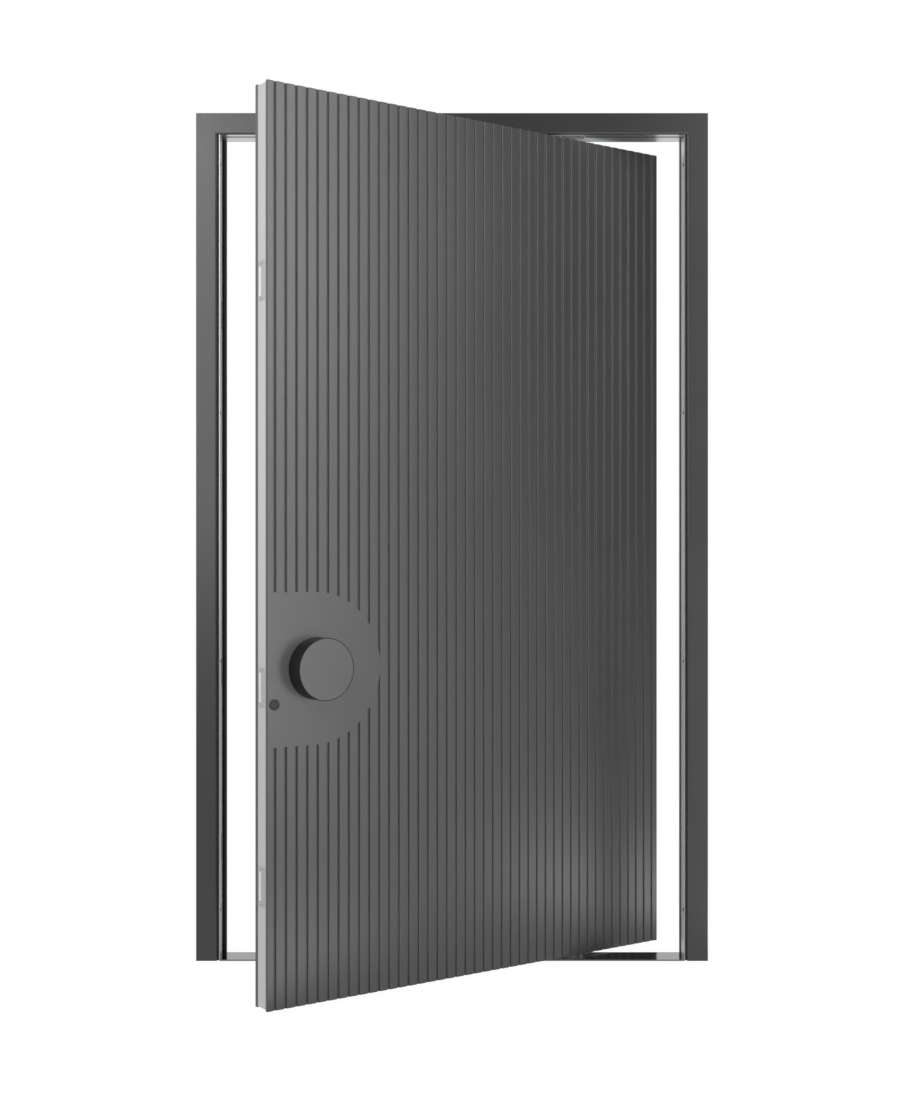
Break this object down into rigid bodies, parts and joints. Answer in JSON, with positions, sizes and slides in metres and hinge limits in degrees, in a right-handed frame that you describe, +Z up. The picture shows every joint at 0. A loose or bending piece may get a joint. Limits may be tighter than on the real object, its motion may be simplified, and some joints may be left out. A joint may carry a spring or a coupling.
{
  "type": "aluminium pivot door in its frame, standing open",
  "caption": "Tall aluminium pivot door with a vertically ribbed leaf, a large round pull knob on a plain round area and a slim metal frame, standing open on an offset vertical pivot.",
  "frame": {"origin": "middle of the underside of the threshold plate, at floor level, halfway between the frame's front and back faces", "axes": "+Z up; +X to the right seen from the front, from the lock side to the pivot side; -Y towards the front, the side that the lock edge opens to"},
  "size_m": [1.6, 0.8972, 2.65],
  "materials": {
    "painted_frame": "satin anthracite powder coat",
    "painted_panel": "satin anthracite powder coat",
    "anodised_lining": "satin natural anodised",
    "polished_threshold": "polished anodised",
    "leaf_edge_aluminium": "satin natural anodised",
    "black_rubber": "matt",
    "black_anodised": "satin black anodised",
    "black_metal": "matt black powder coat",
    "satin_steel": "brushed",
    "bright_steel": "fine brushed"
  },
  "bodies": {
    "frame": {"lock_jamb": "painted_frame", "pivot_jamb": "painted_frame", "head": "painted_frame", "threshold": "polished_threshold", "lock_lining": "anodised_lining", "pivot_lining": "anodised_lining", "lock_slot_gasket": "black_rubber", "pivot_slot_gasket": "black_rubber", "lock_stop": "black_anodised", "lock_stop_seal": "black_rubber", "pivot_rear_bead": "painted_frame", "head_lining": "anodised_lining", "head_seal": "black_rubber", "lower_keep": "satin_steel", "main_keep": "satin_steel", "upper_keep": "satin_steel", "floor_pivot_plate": "satin_steel", "floor_pivot_pin": "satin_steel", "head_pivot_plate": "satin_steel", "head_pivot_pin": "satin_steel"},
    "leaf": {"lock_stile": "leaf_edge_aluminium", "pivot_stile": "leaf_edge_aluminium", "top_rail": "leaf_edge_aluminium", "bottom_rail": "leaf_edge_aluminium", "front_panel": "painted_panel", "back_panel": "painted_panel", "floor_pivot_shoe": "satin_steel", "head_pivot_shoe": "satin_steel", "drop_seal": "black_rubber", "lower_lock_plate": "satin_steel", "main_lock_plate": "satin_steel", "upper_lock_plate": "satin_steel", "lower_hook_bolt": "bright_steel", "main_hook_bolt": "bright_steel", "upper_hook_bolt": "bright_steel", "front_knob": "black_metal", "front_knob_face": "painted_panel", "back_knob": "black_metal", "back_knob_face": "painted_panel", "front_cylinder_rose": "black_metal", "back_cylinder_rose": "black_metal", "lock_cylinder": "bright_steel"}
  },
  "joints": [
    {"name": "leaf_pivot", "type": "hinge", "parent": "frame", "child": "leaf", "pos_m": [0.336, -0.0125, 1.3], "axis": [0, 0, 1], "range_deg": [-35.1, 54.9]}
  ]
}
